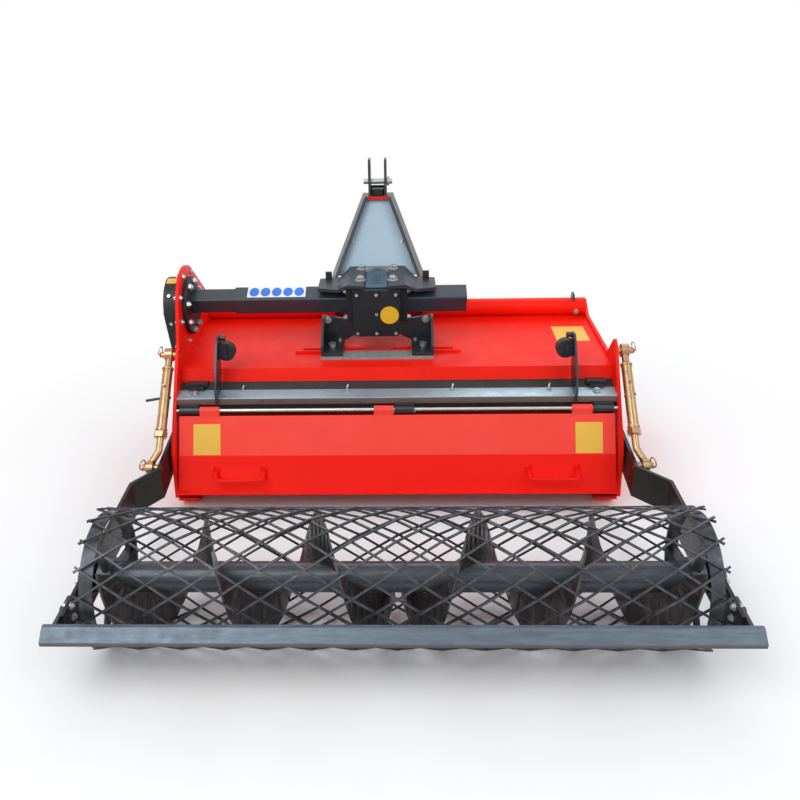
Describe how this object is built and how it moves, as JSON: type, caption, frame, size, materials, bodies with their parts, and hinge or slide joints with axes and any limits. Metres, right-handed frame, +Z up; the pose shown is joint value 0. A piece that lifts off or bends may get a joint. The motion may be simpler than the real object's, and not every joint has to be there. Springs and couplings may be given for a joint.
{
  "type": "tractor-mounted stone burier",
  "caption": "Stone burier for a tractor: hooded rotor with chain drive, side-shifting headstock, rear flap and a mesh cage roller on adjustable arms with a scraper.",
  "frame": {"origin": "on the floor under the middle of the machine's box", "axes": "+X to the right as seen from behind, +Y forward to the tractor, +Z up"},
  "size_m": [1.524, 1.465, 0.89],
  "materials": {
    "red_paint": "gloss paint",
    "black_paint": "satin paint",
    "cast_black": "painted casting",
    "galvanised": "galvanised",
    "zinc": "bright zinc plating",
    "yellow_zinc": "yellow zinc plating",
    "rubber": "matt rubber",
    "grey_panel": "pale blue-grey paint",
    "bare_steel": "bare steel",
    "scraper_steel": "blue-grey paint, worn",
    "cage_steel": "dark mill steel"
  },
  "bodies": {
    "frame": {"side_plate_right": "red_paint", "side_plate_left": "red_paint", "skid_right": "red_paint", "skid_left": "red_paint", "hood": "red_paint", "front_tube": "red_paint", "rear_beam": "galvanised", "rubber_strip": "rubber", "beam_seal": "rubber", "guide_rail": "red_paint", "comb_fingers": "black_paint", "comb_bar": "black_paint", "rail": "black_paint", "rail_flange": "black_paint", "chain_case": "black_paint", "rotor_bearings": "cast_black", "hinge_rod": "zinc", "hinge_knuckles": "black_paint", "flap_stops": "black_paint", "stop_buffers": "rubber", "arm_pivots": "zinc", "adjuster_upper_pins": "yellow_zinc"},
    "headstock": {"sleeve": "black_paint", "gearbox": "cast_black", "gearbox_cover": "cast_black", "carrier": "black_paint", "carrier_flat": "zinc", "carrier_bolts": "zinc", "wings": "black_paint", "mast": "black_paint", "mast_panel": "grey_panel", "top_link_ears": "black_paint", "top_link_pin": "zinc", "hitch_cheeks": "black_paint", "hitch_bar": "black_paint", "pto_guard": "black_paint"},
    "pto": {"pto_shaft": "bare_steel"},
    "rotor": {"rotor_shaft": "black_paint", "rotor_blades": "bare_steel"},
    "flap": {"flap": "red_paint", "flap_handles": "red_paint"},
    "roller_arms": {"roller_arm_right": "black_paint", "roller_arm_left": "black_paint", "roller_bearings": "cast_black", "scraper_bar": "scraper_steel", "scraper_brackets": "black_paint", "adjuster_lower_pins": "yellow_zinc"},
    "roller": {"roller_tube": "black_paint", "roller_hoops": "black_paint", "roller_flights": "black_paint", "roller_cage": "cage_steel"},
    "adjuster_barrel_right": {"adjuster_barrel_right": "yellow_zinc"},
    "adjuster_barrel_left": {"adjuster_barrel_left": "yellow_zinc"},
    "adjuster_rod_right": {"adjuster_rod_right": "yellow_zinc"},
    "adjuster_rod_left": {"adjuster_rod_left": "yellow_zinc"}
  },
  "joints": [
    {"name": "headstock_shift", "type": "slide", "parent": "frame", "child": "headstock", "axis": [1, 0, 0], "range_m": [-0.08, 0.08]},
    {"name": "pto_spin", "type": "hinge", "parent": "headstock", "child": "pto", "pos_m": [-0.054, 0.4645, 0.522], "axis": [0, 1, 0], "continuous": true},
    {"name": "rotor_spin", "type": "hinge", "parent": "frame", "child": "rotor", "pos_m": [0, 0.4445, 0.18], "axis": [1, 0, 0], "continuous": true},
    {"name": "flap_swing", "type": "hinge", "parent": "frame", "child": "flap", "pos_m": [0, 0.0945, 0.287], "axis": [-1, 0, 0], "range_deg": [0, 75]},
    {"name": "roller_depth", "type": "hinge", "parent": "frame", "child": "roller_arms", "pos_m": [0, 0.2345, 0.2], "axis": [-1, 0, 0], "range_deg": [-5, 7]},
    {"name": "roller_spin", "type": "hinge", "parent": "roller_arms", "child": "roller", "pos_m": [0, -0.5055, 0.165], "axis": [1, 0, 0], "continuous": true},
    {"name": "adjuster_swing_right", "type": "hinge", "parent": "frame", "child": "adjuster_barrel_right", "pos_m": [0.675, 0.2015, 0.42], "axis": [1, 0, 0], "range_deg": [-4.97, 3.64]},
    {"name": "adjuster_slide_right", "type": "slide", "parent": "adjuster_barrel_right", "child": "adjuster_rod_right", "axis": [0, -0.7577, -0.6527], "range_m": [-0.02413, 0.01752]},
    {"name": "adjuster_swing_left", "type": "hinge", "parent": "frame", "child": "adjuster_barrel_left", "pos_m": [-0.675, 0.2015, 0.42], "axis": [1, 0, 0], "range_deg": [-4.97, 3.64]},
    {"name": "adjuster_slide_left", "type": "slide", "parent": "adjuster_barrel_left", "child": "adjuster_rod_left", "axis": [0, -0.7577, -0.6527], "range_m": [-0.02413, 0.01752]}
  ],
  "couplings": [
    {"joint": "pto_spin", "follows": "rotor_spin", "ratio": 2.4},
    {"joint": "adjuster_swing_right", "follows": "roller_depth", "ratio": -0.66749},
    {"joint": "adjuster_slide_right", "follows": "roller_depth", "m_per_rad": -0.18935},
    {"joint": "adjuster_swing_left", "follows": "roller_depth", "ratio": -0.66749},
    {"joint": "adjuster_slide_left", "follows": "roller_depth", "m_per_rad": -0.18935}
  ]
}
